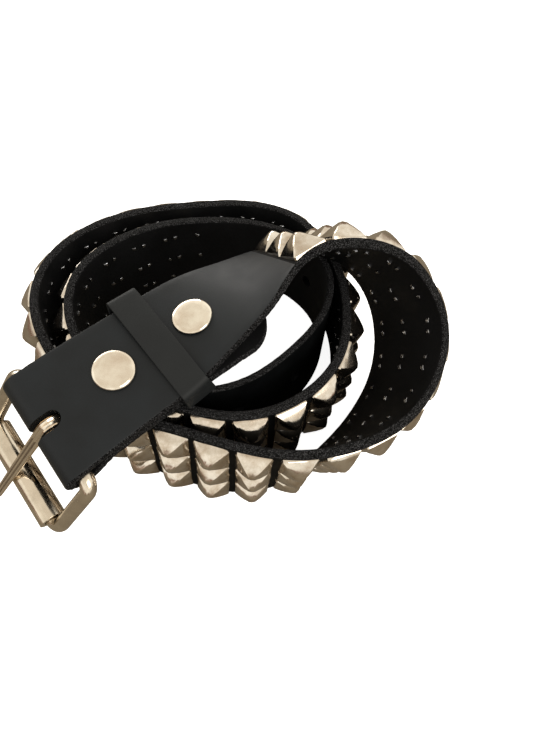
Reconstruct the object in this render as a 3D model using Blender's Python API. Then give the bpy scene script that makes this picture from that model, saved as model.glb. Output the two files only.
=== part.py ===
# Studded belt lying coiled on the floor: a folded buckle end on top of a
# coil of three turns, three rows of pyramid studs and a plain pointed tip.
# Metres, +Z up.
import math

import bmesh
import bpy
import numpy as np
from mathutils import Matrix, Vector

for old in list(bpy.data.objects):
    bpy.data.objects.remove(old, do_unlink=True)

# Sizes
strap_width = 0.038
strap_thick = 0.0034
layer_gap = 0.0003
coil_gap = 0.0004
half_long = 0.075
half_deep = 0.055
centre_x = -0.015
fold_at = 0.0006
plain_run = 0.0943
stud_pitch = 0.01373
stud_count = 48
stud_long = 0.0120
stud_wide = 0.0124
stud_rim = 0.0008
stud_tall = 0.0052
point_long = 0.015
point_flat = 0.10
bar_radius = 0.0025
piece_gap = 0.0003
flap_reach = 0.0845
flap_round = 0.0155
slot_wide = 0.0056
slot_reach = 0.0116
slot_under = 0.0009
snap_at = (0.0307, 0.0609)
snap_side = (-0.0012, 0.0)
snap_cap = 0.0136
snap_post = 0.0044
snap_back = 0.0110
keeper_at = 0.0468
keeper_long = 0.0104
keeper_thick = 0.0016
keeper_loose = 0.0020
tip_hole = 0.0050
tip_hole_step = 0.0250
tip_hole_first = 0.0450
tip_holes = 5
frame_reach = 0.0288
frame_drop = math.radians(53.0)
frame_corner = 0.0040
frame_side = 0.0008
roller_radius = 0.0043
tongue_thick = 0.0022
tongue_wide = 0.0042
tongue_beyond = 0.0125
flap_close = 0.0110
flap_free = 0.0640
snug = 0.0005
cutter_deep = 0.0120
cutter_high = 0.0060
slot_cut = 0.0090

# Sizes that follow from them
half_width = strap_width / 2
half_thick = strap_thick / 2
rest_height = strap_width + coil_gap + strap_thick + layer_gap + half_thick
studded_layer = strap_thick + stud_tall + 2 * coil_gap
plain_layer = strap_thick + 2 * coil_gap
fold_inner = bar_radius + piece_gap
fold_mid = fold_inner + half_thick
fold_outer = fold_inner + strap_thick
roller_bore = bar_radius + piece_gap
arm_at = half_width + frame_side + bar_radius
bar_run = fold_at + fold_outer

# Route of the strap's lower edge, from the fold to the tip. x and y are
# shares of the coil's half length and half depth, lift is a share of the
# height at which the folded end lies on the coil, lean_x, lean_y and rise
# give the direction across the strap, turn counts the layers outside it.
# x, y, lift, lean_x, lean_y, rise, turn
ROUTE = (
    (-0.900, -0.714, 1.175, 0.62, -0.76, -0.20, 0.0),
    (-0.662, -0.380, 1.155, 0.66, -0.73, -0.14, 0.0),
    (-0.458, -0.111, 1.130, 0.68, -0.73, -0.06, 0.0),
    (-0.252, 0.150, 1.076, 0.64, -0.75, 0.18, 0.0),
    (-0.090, 0.288, 1.032, 0.56, -0.71, 0.42, 0.0),
    (0.067, 0.417, 0.998, 0.43, -0.65, 0.62, 0.0),
    (0.235, 0.509, 0.968, 0.35, -0.60, 0.71, 0.0),
    (0.403, 0.540, 0.895, 0.34, -0.56, 0.75, 0.0),
    (0.564, 0.502, 0.755, 0.37, -0.51, 0.78, 0.0),
    (0.686, 0.389, 0.548, 0.41, -0.47, 0.78, 0.0),
    (0.743, 0.200, 0.365, 0.45, -0.44, 0.78, 0.0),
    (0.744, -0.020, 0.190, 0.43, -0.44, 0.78, 0.0),
    (0.645, -0.348, 0.022, 0.34, -0.42, 0.84, 0.0),
    (0.476, -0.640, 0.000, 0.21, -0.30, 0.93, 0.0),
    (0.273, -0.874, 0.000, 0.09, -0.09, 0.99, 0.0),
    (0.021, -0.962, 0.000, 0.06, 0.09, 0.99, 0.0),
    (-0.246, -0.890, 0.000, 0.06, 0.12, 0.99, 0.0),
    (-0.511, -0.757, 0.000, 0.05, 0.07, 1.00, 0.0),
    (-0.735, -0.535, 0.000, 0.04, 0.05, 1.00, 0.0),
    (-0.905, -0.245, 0.000, 0.03, 0.03, 1.00, 0.0),
    (-0.994, 0.110, 0.000, 0.00, 0.02, 1.00, 0.0),
    (-0.952, 0.471, 0.000, -0.01, 0.00, 1.00, 0.0),
    (-0.791, 0.769, 0.000, 0.01, -0.04, 1.00, 0.0),
    (-0.548, 0.958, 0.000, 0.02, -0.07, 1.00, 0.0),
    (-0.272, 1.038, 0.000, 0.02, -0.07, 1.00, 0.0),
    (0.008, 1.020, 0.000, 0.02, 0.00, 1.00, 0.0),
    (0.276, 0.942, 0.000, 0.04, 0.05, 1.00, 0.43),
    (0.436, 0.786, 0.000, 0.04, 0.04, 1.00, 0.71),
    (0.580, 0.572, 0.000, 0.02, 0.01, 1.00, 1.0),
    (0.661, 0.126, 0.000, 0.00, -0.01, 1.00, 1.0),
    (0.598, -0.330, 0.000, 0.02, -0.03, 1.00, 1.0),
    (0.386, -0.690, 0.000, 0.02, -0.03, 1.00, 1.0),
    (0.080, -0.880, 0.000, 0.02, 0.00, 1.00, 1.0),
    (-0.252, -0.868, 0.000, 0.03, 0.05, 1.00, 1.0),
    (-0.556, -0.706, 0.000, 0.03, 0.06, 1.00, 1.0),
    (-0.802, -0.428, 0.000, 0.04, 0.05, 1.00, 1.0),
    (-0.948, -0.044, 0.000, 0.04, 0.03, 1.00, 1.0),
    (-0.943, 0.362, 0.000, 0.03, 0.01, 1.00, 1.0),
    (-0.770, 0.706, 0.000, 0.02, -0.01, 1.00, 1.0),
    (-0.503, 0.937, 0.000, 0.02, -0.03, 1.00, 1.0),
    (-0.190, 1.030, 0.000, 0.01, -0.04, 1.00, 1.0),
    (0.134, 0.999, 0.000, 0.02, 0.00, 1.00, 1.38),
    (0.432, 0.786, 0.000, 0.04, 0.04, 1.00, 1.75),
    (0.572, 0.548, 0.000, 0.04, 0.03, 1.00, 2.0),
    (0.604, 0.068, 0.000, 0.00, 0.03, 1.00, 2.0),
    (0.435, -0.415, 0.000, -0.04, 0.04, 1.00, 2.0),
    (0.103, -0.729, 0.000, -0.02, 0.01, 1.00, 2.0),
    (-0.270, -0.765, 0.000, 0.00, -0.02, 1.00, 2.0),
    (-0.590, -0.600, 0.000, 0.00, -0.02, 1.00, 2.0),
    (-0.838, -0.305, 0.000, 0.02, 0.02, 1.00, 2.0),
    (-0.950, -0.050, 0.000, 0.05, 0.04, 1.00, 2.0),
)


# Laying the strap along its route
def unit(vec):
    size = np.linalg.norm(vec, axis=-1, keepdims=True)
    return vec / np.maximum(size, 1e-12)


def smooth_rows(param, rows, fine):
    """Smooth curve through the rows, its second slope continuous."""
    count = len(param)
    step = np.diff(param)
    system = np.zeros((count, count))
    right = np.zeros((count, rows.shape[1]))
    system[0, 0] = 1.0
    system[-1, -1] = 1.0
    for k in range(1, count - 1):
        system[k, k - 1] = step[k - 1]
        system[k, k] = 2 * (step[k - 1] + step[k])
        system[k, k + 1] = step[k]
        before = (rows[k] - rows[k - 1]) / step[k - 1]
        after = (rows[k + 1] - rows[k]) / step[k]
        right[k] = 6 * (after - before)
    bend = np.linalg.solve(system, right)
    k = np.clip(np.searchsorted(param, fine, side="right") - 1, 0, count - 2)
    width = step[k][:, None]
    a = (param[k + 1] - fine)[:, None] / width
    b = 1.0 - a
    part = (a ** 3 - a) * bend[k] + (b ** 3 - b) * bend[k + 1]
    return a * rows[k] + b * rows[k + 1] + part * width ** 2 / 6


def level_rows(param, rows, fine):
    """Smooth curve through the rows that never passes above or below them."""
    step = np.diff(param)[:, None]
    slope = np.diff(rows, axis=0) / step
    slopes = np.zeros_like(rows)
    left, right = slope[:-1], slope[1:]
    same = left * right > 0
    total = np.where(same, left + right, 1.0)
    slopes[1:-1] = np.where(same, 2 * left * right / total, 0.0)
    k = np.clip(np.searchsorted(param, fine, side="right") - 1, 0, len(param) - 2)
    h = step[k]
    t = (fine - param[k])[:, None] / h
    p0, p1 = rows[k], rows[k + 1]
    m0, m1 = slopes[k] * h, slopes[k + 1] * h
    return ((2 * t ** 3 - 3 * t ** 2 + 1) * p0 + (t ** 3 - 2 * t ** 2 + t) * m0
            + (3 * t ** 2 - 2 * t ** 3) * p1 + (t ** 3 - t ** 2) * m1)


def lay_route():
    """Lower edge, upper edge and mid-line length of the laid strap."""
    table = np.array(ROUTE)
    flat = np.stack([table[:, 0] * half_long, table[:, 1] * half_deep], -1)
    turns = table[:, 6]
    inward = np.interp(turns, [0, 1, 2], [0, studded_layer, studded_layer + plain_layer])
    reach = np.linalg.norm(flat, axis=1, keepdims=True)
    flat = flat * (1 - inward[:, None] / reach)
    across = unit(table[:, 3:6])
    low = np.column_stack([flat, table[:, 2] * rest_height])
    mid = low + across * half_width
    chord = np.linalg.norm(np.diff(mid, axis=0), axis=1)
    param = np.concatenate([[0], np.cumsum(chord)])
    fine = np.linspace(0, param[-1], 6000)
    flat_fine = smooth_rows(param, np.column_stack([flat, across]), fine)
    lift_fine = level_rows(param, low[:, 2:3], fine)
    across_fine = unit(flat_fine[:, 2:5])
    low_fine = np.column_stack([flat_fine[:, 0] + centre_x, flat_fine[:, 1], lift_fine])
    mid_fine = low_fine + across_fine * half_width
    run = np.concatenate([[0], np.cumsum(np.linalg.norm(np.diff(mid_fine, axis=0), axis=1))])
    return run, low_fine, across_fine


RUN, LOW, ACROSS = lay_route()
total_run = float(RUN[-1])
TOP = LOW + ACROSS * strap_width
LOW_AHEAD = unit(np.gradient(LOW, RUN, axis=0))
TOP_AHEAD = unit(np.gradient(TOP, RUN, axis=0))
LOW_OUT = unit(np.cross(ACROSS, LOW_AHEAD))
TOP_OUT = unit(np.cross(ACROSS, TOP_AHEAD))
foot = np.clip(LOW[:, 2] / 0.004, 0, 1)
LOW_OUT[:, 2] *= foot * foot * (3 - 2 * foot)
LOW_OUT = unit(LOW_OUT)


def pick(values, run):
    return np.array([np.interp(run, RUN, values[:, k]) for k in range(3)])


def section(run):
    """Centre, direction across and outward directions at both edges."""
    low = pick(LOW, run)
    across = unit(pick(ACROSS, run))
    return (low + across * half_width, across, unit(pick(LOW_OUT, run)), unit(pick(TOP_OUT, run)))


# Tools that make one closed piece each
def finish_mesh(name, verts, faces, material, pivot):
    """One closed object whose origin lies at the pivot."""
    mesh = bpy.data.meshes.new(name)
    mesh.from_pydata([tuple(np.array(v) - pivot) for v in verts], [], faces)
    work = bmesh.new()
    work.from_mesh(mesh)
    bmesh.ops.remove_doubles(work, verts=work.verts, dist=1e-7)
    bmesh.ops.recalc_face_normals(work, faces=work.faces)
    work.to_mesh(mesh)
    work.free()
    mesh.materials.append(material)
    obj = bpy.data.objects.new(name, mesh)
    bpy.context.collection.objects.link(obj)
    obj.location = Vector(pivot)
    return obj


def make_material(name, colour, metallic, roughness):
    material = bpy.data.materials.new(name)
    material.use_nodes = True
    shader = material.node_tree.nodes["Principled BSDF"]
    shader.inputs["Base Color"].default_value = (*colour, 1.0)
    shader.inputs["Metallic"].default_value = metallic
    shader.inputs["Roughness"].default_value = roughness
    return material


def prism(name, outline, start, end):
    """Closed prism from a planar outline, moved from start to end."""
    count = len(outline)
    verts = [p + start for p in outline] + [p + end for p in outline]
    faces = [list(range(count)), list(range(count, 2 * count))]
    for k in range(count):
        faces.append([k, (k + 1) % count, count + (k + 1) % count, count + k])
    return finish_mesh(name, verts, faces, leather, np.zeros(3))


def cut(obj, cutter):
    """Takes the cutter out of the object, then removes the cutter."""
    cutter.hide_render = True
    cutter.display_type = "WIRE"
    modifier = obj.modifiers.new("cut", "BOOLEAN")
    modifier.operation = "DIFFERENCE"
    modifier.solver = "EXACT"
    modifier.object = cutter
    graph = bpy.context.evaluated_depsgraph_get()
    result = bpy.data.meshes.new_from_object(obj.evaluated_get(graph))
    obj.modifiers.clear()
    obj.data = result
    bpy.data.objects.remove(cutter, do_unlink=True)


def revolve(name, profile, centre, axis, side, material, segments):
    """Turned body: profile rows are (distance along the axis, radius)."""
    third = np.cross(axis, side)
    verts = []
    for along, radius in profile:
        for k in range(segments):
            turn = 2 * math.pi * k / segments
            ring = side * math.cos(turn) + third * math.sin(turn)
            verts.append(centre + axis * along + ring * radius)
    faces = []
    rows = len(profile)
    for i in range(rows - 1):
        for k in range(segments):
            n = (k + 1) % segments
            faces.append([i * segments + k, i * segments + n,
                          (i + 1) * segments + n, (i + 1) * segments + k])
    return verts, faces


def sweep(path, aheads, sides, outline, closed):
    """Body of constant outline carried along a path in the plane of sides."""
    verts = []
    count = len(outline)
    for point, ahead, side in zip(path, aheads, sides):
        up = np.cross(ahead, side)
        for a, b in outline:
            verts.append(point + side * a + up * b)
    rows = len(path)
    faces = []
    last = rows if closed else rows - 1
    for i in range(last):
        j = (i + 1) % rows
        for k in range(count):
            n = (k + 1) % count
            faces.append([i * count + k, i * count + n, j * count + n, j * count + k])
    if not closed:
        faces.append(list(range(count)))
        faces.append([(rows - 1) * count + k for k in range(count)])
    return verts, faces


leather = make_material("black_leather", (0.022, 0.022, 0.023), 0.0, 0.55)
nickel = make_material("nickel", (0.72, 0.66, 0.58), 1.0, 0.22)

# Strap with its folded end, its slot and its holes
FOLD_C, FOLD_W, _, _ = section(bar_run)
FOLD_D = unit(pick(LOW_AHEAD, bar_run) + pick(TOP_AHEAD, bar_run))
FOLD_D = unit(FOLD_D - FOLD_W * float(FOLD_D @ FOLD_W))
FOLD_N = np.cross(FOLD_W, FOLD_D)
BAR = FOLD_C - FOLD_N * fold_mid
apart = strap_thick + layer_gap

VLINES = (-half_width, -1.5 * stud_wide + 0.0002, -0.5 * stud_wide,
          0.5 * stud_wide, 1.5 * stud_wide - 0.0002, half_width)


def flap_station(run):
    """Under layer: hugs the strap from the bar, then lies flat by itself."""
    centre, across, out_low, out_top = section(min(run, flap_free))
    share = (run - bar_run) / flap_close
    share = min(max(share, 0.0), 1.0)
    share = share * share * (3 - 2 * share)
    away = 2 * fold_mid + (apart - 2 * fold_mid) * share
    out = unit(out_low + out_top)
    centre = centre - out * away
    if run <= flap_free:
        return centre, across, -out_low, -out_top
    free = run - flap_free
    ahead = unit(pick(LOW_AHEAD, flap_free) + pick(TOP_AHEAD, flap_free))
    ahead = unit(ahead * np.array([1.0, 1.0, 0.2]))
    ease = min(free / 0.014, 1.0)
    level = unit(across * np.array([1.0, 1.0, 1.0 - 0.85 * ease]))
    centre = centre + ahead * free
    out = unit(np.cross(level, ahead))
    return centre, level, -out, -out


stations = []
flap_runs = [flap_reach - flap_round * (1 - math.sin(a * math.pi / 180))
             for a in (82, 68, 52, 36, 20, 0)]
flap_shares = [math.cos(a * math.pi / 180) for a in (82, 68, 52, 36, 20, 0)]
for run, share in zip(flap_runs, flap_shares):
    stations.append((*flap_station(run), share, None))
for run in np.linspace(flap_runs[-1], bar_run, 22)[1:]:
    if run > bar_run + 0.0001:
        stations.append((*flap_station(float(run)), 1.0, None))
for turn in np.linspace(math.pi, 0, 11):
    out = FOLD_N * math.cos(turn) - FOLD_D * math.sin(turn)
    stations.append((BAR + out * fold_mid, FOLD_W, out, out, 1.0, None))
for run in np.linspace(bar_run, plain_run, 20)[1:]:
    stations.append((*section(float(run)), 1.0, None))
side_gap = (stud_pitch - stud_long) / 2
for column in range(stud_count):
    first = plain_run + column * stud_pitch + side_gap
    for part in range(3):
        at = first + stud_long * part / 2
        stations.append((*section(at), 1.0, (column, part)))
studs_end = plain_run + stud_count * stud_pitch
full_end = total_run - point_long
for run in np.linspace(studs_end, full_end, 30):
    stations.append((*section(float(run)), 1.0, None))
for share in (0.35, 0.7, 0.92, 1.0):
    narrow = 1 - (1 - point_flat) * share
    stations.append((*section(full_end + point_long * share), narrow, None))

verts = []
faces = []


def add(point):
    verts.append(point)
    return len(verts) - 1


def lifted(station, across, height):
    centre, w, out_low, out_top, share, _ = station
    part = (across / half_width + 1) / 2
    out = unit((1 - part) * out_low + part * out_top)
    return centre + w * across * share + out * height


grain = []
back = []
rims = {}
for station in stations:
    grain.append([add(lifted(station, v, half_thick)) for v in VLINES])
    back.append([add(lifted(station, v, -half_thick)) for v in (-half_width, half_width)])
    mark = station[5]
    if mark:
        height = half_thick + stud_rim
        rims[mark] = [add(lifted(station, v, height)) for v in VLINES[1:5]]
apexes = {}
for index, station in enumerate(stations):
    mark = station[5]
    if mark and mark[1] == 1:
        for row in range(3):
            middle = (row - 1) * stud_wide
            point = lifted(station, middle, half_thick + stud_tall)
            apexes[(mark[0], row)] = add(point)
for i in range(len(stations) - 1):
    a, b = grain[i], grain[i + 1]
    c, d = back[i], back[i + 1]
    before, after = stations[i][5], stations[i + 1][5]
    under_stud = before and after and before[0] == after[0]
    for k in range(5):
        if under_stud and 1 <= k <= 3:
            continue
        faces.append([a[k], a[k + 1], b[k + 1], b[k]])
    faces.append([a[0], b[0], d[0], c[0]])
    faces.append([a[5], c[1], d[1], b[5]])
    faces.append([c[0], d[0], d[1], c[1]])
    if under_stud:
        ra, rb = rims[before], rims[after]
        faces.append([a[1], ra[0], rb[0], b[1]])
        faces.append([a[4], b[4], rb[3], ra[3]])
        for row in range(3):
            top = apexes[(before[0], row)]
            faces.append([ra[row], rb[row], top])
            faces.append([ra[row + 1], top, rb[row + 1]])
for column in range(stud_count):
    for part in (0, 2):
        rim = rims[(column, part)]
        i = next(n for n, s in enumerate(stations) if s[5] == (column, part))
        base = grain[i]
        for row in range(3):
            faces.append([base[row + 1], base[row + 2], rim[row + 1], rim[row]])
            faces.append([rim[row], rim[row + 1], apexes[(column, row)]])
for end in (0, -1):
    faces.append([*grain[end], back[end][1], back[end][0]])

strap = finish_mesh("studded_strap", verts, faces, leather, np.zeros(3))


def ring_outline(centre, u, v, radius_u, radius_v, segments):
    turns = [2 * math.pi * k / segments for k in range(segments)]
    return [centre + u * radius_u * math.cos(t) + v * radius_v * math.sin(t) for t in turns]


def frame_at(run):
    centre, across, out_low, out_top = section(run)
    out = unit(out_low + out_top)
    ahead = unit(np.cross(out, across))
    return centre, across, ahead, out


reach = slot_reach - bar_run
below = reach + slot_under
outline = [BAR + FOLD_D * x + FOLD_N * z for x, z in (
    (-slot_cut, -slot_cut), (below, -slot_cut), (below, 0.0), (reach, slot_under),
    (reach, slot_cut), (-slot_cut, slot_cut))]
slot_half = slot_wide / 2
cut(strap, prism("slot", outline, FOLD_W * -slot_half, FOLD_W * slot_half))

for number, run in enumerate(snap_at):
    centre, across, ahead, out = frame_at(run)
    centre = centre + across * snap_side[number]
    bore = snap_post / 2 + piece_gap
    outline = ring_outline(centre, across, ahead, bore, bore, 16)
    cut(strap, prism("snap_hole", outline, out * -cutter_deep, out * cutter_high))
    seat = snap_cap / 2 + piece_gap
    outline = ring_outline(centre, across, ahead, seat, seat, 24)
    cut(strap, prism("cap_seat", outline, out * half_thick, out * cutter_high))
    seat = snap_back / 2 + piece_gap
    outline = ring_outline(centre, across, ahead, seat, seat, 24)
    cut(strap, prism("back_seat", outline, out * -cutter_deep, out * (-half_thick - apart)))
for number in range(tip_holes):
    run = total_run - tip_hole_first - tip_hole_step * (tip_holes - 1 - number)
    centre, across, ahead, out = frame_at(run)
    outline = ring_outline(centre, across, ahead, tip_hole / 2, tip_hole / 2, 16)
    cut(strap, prism("tip_cut", outline, out * -strap_thick, out * strap_thick))

# Snaps through both layers
for number, run in enumerate(snap_at):
    centre, across, ahead, out = frame_at(run)
    centre = centre + across * snap_side[number]
    face = half_thick + piece_gap
    under = -half_thick - layer_gap - strap_thick - piece_gap
    cap = snap_cap / 2
    profile = (
        (face + 0.0017, 0.0), (face + 0.0016, 0.35 * cap), (face + 0.0012, 0.72 * cap),
        (face + 0.0006, 0.96 * cap), (face + 0.0002, cap), (face, 0.96 * cap),
        (face, snap_post / 2), (under, snap_post / 2), (under, snap_back / 2),
        (under - 0.0006, snap_back / 2), (under - 0.0008, 0.7 * snap_back / 2),
        (under - 0.0008, 0.0),
    )
    verts, faces = revolve("snap", profile, centre, out, across, nickel, 24)
    finish_mesh(f"snap_{number + 1}", verts, faces, nickel, np.zeros(3))

# Keeper loop around both layers
inner = (-half_width - keeper_loose, half_width + snug,
         -half_thick - apart - snug, half_thick + snug)


def band(grow, corner):
    """Rounded outline of the band, grown outwards from the strap."""
    low, high, bottom, top = inner
    low, high, bottom, top = low - grow, high + grow, bottom - grow, top + grow
    points = []
    spots = ((high - corner, top - corner, 0), (low + corner, top - corner, 90),
             (low + corner, bottom + corner, 180), (high - corner, bottom + corner, 270))
    for x, y, start in spots:
        for k in range(5):
            turn = math.radians(start + 22.5 * k)
            points.append((x + corner * math.cos(turn), y + corner * math.sin(turn)))
    return points


verts = []
faces = []
inside = band(0.0, 0.0006)
outside = band(keeper_thick, 0.0020)
count = len(inside)
keeper_rows = 5
for loop in (inside, outside):
    for row in range(keeper_rows):
        run = keeper_at + keeper_long * (row / (keeper_rows - 1) - 0.5)
        centre, across, ahead, out = frame_at(run)
        for x, y in loop:
            verts.append(centre + across * x + out * y)
over = keeper_rows * count
for row in range(keeper_rows - 1):
    for k in range(count):
        n = (k + 1) % count
        a, b = row * count, (row + 1) * count
        faces.append([a + k, a + n, b + n, b + k])
        faces.append([over + a + k, over + b + k, over + b + n, over + a + n])
for row in (0, keeper_rows - 1):
    for k in range(count):
        n = (k + 1) % count
        a = row * count
        faces.append([a + k, over + a + k, over + a + n, a + n])
finish_mesh("keeper_loop", verts, faces, leather, np.zeros(3))

# Buckle: ring of wire, roller tube and tongue
outward = -FOLD_D * math.cos(frame_drop) - FOLD_N * math.sin(frame_drop)
upward = np.cross(outward, FOLD_W)
corners = ((1, 0, -90), (1, 1, 0), (-1, 1, 90), (-1, 0, 180))
path = []
aheads = []
for x_sign, far, start in corners:
    x = x_sign * (arm_at - frame_corner)
    y = frame_reach - frame_corner if far else frame_corner
    for k in range(7):
        turn = math.radians(start + 15 * k)
        path.append(BAR + FOLD_W * (x + frame_corner * math.cos(turn))
                    + outward * (y + frame_corner * math.sin(turn)))
        aheads.append(-FOLD_W * math.sin(turn) + outward * math.cos(turn))
sides = [unit(np.cross(upward, ahead)) for ahead in aheads]
wire = [(bar_radius * math.cos(2 * math.pi * k / 14), bar_radius * math.sin(2 * math.pi * k / 14))
        for k in range(14)]
verts, faces = sweep(path, aheads, sides, wire, True)
finish_mesh("buckle_frame", verts, faces, nickel, BAR)

ROLL = BAR + outward * frame_reach
roll_half = arm_at - frame_corner - piece_gap
profile = ((-roll_half, roller_bore), (-roll_half, roller_radius), (roll_half, roller_radius),
           (roll_half, roller_bore), (-roll_half, roller_bore))
verts, faces = revolve("roller", profile, ROLL, FOLD_W, upward, nickel, 24)
finish_mesh("roller", verts, faces, nickel, ROLL)

loop_radius = bar_radius + piece_gap + tongue_thick / 2
rest_radius = roller_radius + piece_gap + tongue_thick / 2
spread = math.asin((rest_radius - loop_radius) / frame_reach)
stem_angle = frame_drop - spread
stem = -FOLD_D * math.cos(stem_angle) - FOLD_N * math.sin(stem_angle)
stem_up = np.cross(stem, FOLD_W)
path = []
aheads = []
for k in range(17):
    turn = math.radians(262 - 262 * k / 16)
    spot = stem_up * math.cos(turn) - stem * math.sin(turn)
    path.append(BAR + spot * loop_radius)
    aheads.append(stem * math.cos(turn) + stem_up * math.sin(turn))
stem_long = frame_reach * math.cos(spread) + tongue_beyond
for share in (0.3, 0.6, 0.92, 1.0):
    path.append(BAR + stem_up * loop_radius + stem * stem_long * share)
    aheads.append(stem)
sides = [FOLD_W] * len(path)
a, b, c = tongue_wide / 2, tongue_thick / 2, 0.0007
outline = ((a, -b + c), (a, b - c), (a - c, b), (-a + c, b),
           (-a, b - c), (-a, -b + c), (-a + c, -b), (a - c, -b))
verts, faces = sweep(path, aheads, sides, outline, False)
verts = np.array(verts)
tip = verts[-8:]
middle = tip.mean(axis=0)
verts[-8:] = middle + (tip - middle) * 0.55
finish_mesh("tongue", list(verts), faces, nickel, BAR)

# Placing: the middle of the overall box on the floor is the origin
bpy.context.view_layer.update()
low = np.full(3, 1e9)
high = np.full(3, -1e9)
pieces = [obj for obj in bpy.data.objects if obj.type == "MESH"]
for obj in pieces:
    for vert in obj.data.vertices:
        spot = np.array(obj.matrix_world @ vert.co)
        low = np.minimum(low, spot)
        high = np.maximum(high, spot)
shift = Vector((-(low[0] + high[0]) / 2, -(low[1] + high[1]) / 2, -low[2]))
for obj in pieces:
    obj.location = obj.location + shift
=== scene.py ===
# Dresses the studded belt: strap, studs, prongs, snaps, keeper and buckle. The leather is
# modelled flat, as on the bench, and laid along the coiled route, and the metal pieces are
# seated on it or on the buckle's bars. Metres, +Z up.
import math

import bmesh
import bpy
import numpy as np
from bpy.props import FloatProperty, FloatVectorProperty, PointerProperty
from mathutils import Matrix, Vector


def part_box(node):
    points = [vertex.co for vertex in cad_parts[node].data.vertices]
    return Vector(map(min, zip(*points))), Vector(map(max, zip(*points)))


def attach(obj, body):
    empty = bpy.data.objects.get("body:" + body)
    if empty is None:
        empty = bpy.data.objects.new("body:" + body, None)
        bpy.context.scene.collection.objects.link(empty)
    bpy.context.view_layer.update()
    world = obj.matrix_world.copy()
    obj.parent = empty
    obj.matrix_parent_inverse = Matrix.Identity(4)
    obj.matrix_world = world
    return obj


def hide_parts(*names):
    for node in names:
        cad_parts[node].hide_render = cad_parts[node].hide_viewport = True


bl_info = {
    "name": "Studded Belt",
    "version": (1, 0, 0),
    "blender": (4, 5, 0),
    "location": "View3D > Sidebar > Belt",
    "description": "Makes a coiled leather belt with three rows of pyramid studs",
    "category": "Object",
}

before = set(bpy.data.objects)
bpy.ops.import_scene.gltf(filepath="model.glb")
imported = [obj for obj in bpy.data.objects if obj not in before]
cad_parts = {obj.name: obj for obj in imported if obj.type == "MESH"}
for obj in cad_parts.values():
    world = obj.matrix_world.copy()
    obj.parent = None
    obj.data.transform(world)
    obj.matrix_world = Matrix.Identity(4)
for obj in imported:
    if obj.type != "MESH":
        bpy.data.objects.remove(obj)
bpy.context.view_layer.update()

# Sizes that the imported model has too
strap_width = 0.038
strap_thick = 0.0034
layer_gap = 0.0003
coil_gap = 0.0004
half_long = 0.075
half_deep = 0.055
centre_x = -0.015
fold_at = 0.0006
plain_run = 0.0943
stud_pitch = 0.01373
stud_count = 48
stud_long = 0.0120
stud_tall = 0.0052
point_long = 0.015
point_flat = 0.10
bar_radius = 0.0025
piece_gap = 0.0003
flap_reach = 0.0845
flap_round = 0.0155
flap_close = 0.0110
flap_free = 0.0640
slot_wide = 0.0056
slot_reach = 0.0116
slot_under = 0.0009
snap_at = (0.0307, 0.0609)
snap_side = (-0.0012, 0.0)
snap_cap = 0.0136
snap_post = 0.0044
snap_back = 0.0110
keeper_at = 0.0468
keeper_long = 0.0104
keeper_thick = 0.0016
keeper_loose = 0.0020
snug = 0.0005
tip_hole = 0.0050
tip_hole_step = 0.0250
tip_hole_first = 0.0450
tip_holes = 5
frame_reach = 0.0288
frame_drop = math.radians(53.0)
frame_corner = 0.0040
frame_side = 0.0008
roller_radius = 0.0043
tongue_thick = 0.0022
tongue_wide = 0.0042
tongue_beyond = 0.0125

# Sizes of the dressed belt alone: leather
thin_share = 0.26  # how much the plain leather thins beyond the buckle
thin_studded = 0.03
thin_from = 0.045
thin_over = 0.020
flap_sag = 0.0030  # how far the folded end's free edge sinks
sag_from, sag_over = 0.050, 0.014  # at the free edge
sag_across_from, sag_across_over = 0.066, 0.016  # over the whole width
level_over = 0.014  # run in which the free end turns level
foot_high = 0.004  # below this the strap stands square on the floor
seat_reach = 0.002  # how far round a hard piece the leather's slope is read
edge_soft = 0.0008
rough_deep, rough_over = 0.0009, 0.0006  # band of the raw edge that stands out unevenly
edge_band = 0.0006
slot_shorter = 0.0007
keeper_corner = 0.0014
keeper_soft = 0.00035
keeper_step = 0.0016

# Studs and prongs
row_apart = 0.01225
row_between = 0.00028  # gap between two rows
row_shift = -0.0004
stud_foot = 0.0007  # how deep a stud's skirt goes into the leather
stud_rim = 0.0003
stud_sides = 20
prong_size = (0.0014, 0.0009, 0.0010)
prong_reach = 0.0050  # from the stud's middle
floor_clear = 0.0001

# Buckle
arm_nearer = 0.0007
roller_longer = 0.0009
seam_turn, seam_half, seam_deep = 20, 2.6, 0.0004
# Where the darker nickel of painted shade lies in the tongue's grooves: share across, half width,
# start along the stem
groove_at, groove_half, groove_from = 0.33, 0.10, 0.0045
stem_taper = 0.28

half_width = strap_width / 2
half_thick = strap_thick / 2
rest_height = strap_width + coil_gap + strap_thick + layer_gap + half_thick
studded_layer = strap_thick + stud_tall + 2 * coil_gap
plain_layer = strap_thick + 2 * coil_gap
fold_inner = bar_radius + piece_gap
fold_mid = fold_inner + half_thick
bar_run = fold_at + fold_inner + strap_thick
arm_at = half_width + frame_side + bar_radius
apart = strap_thick + layer_gap

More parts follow.
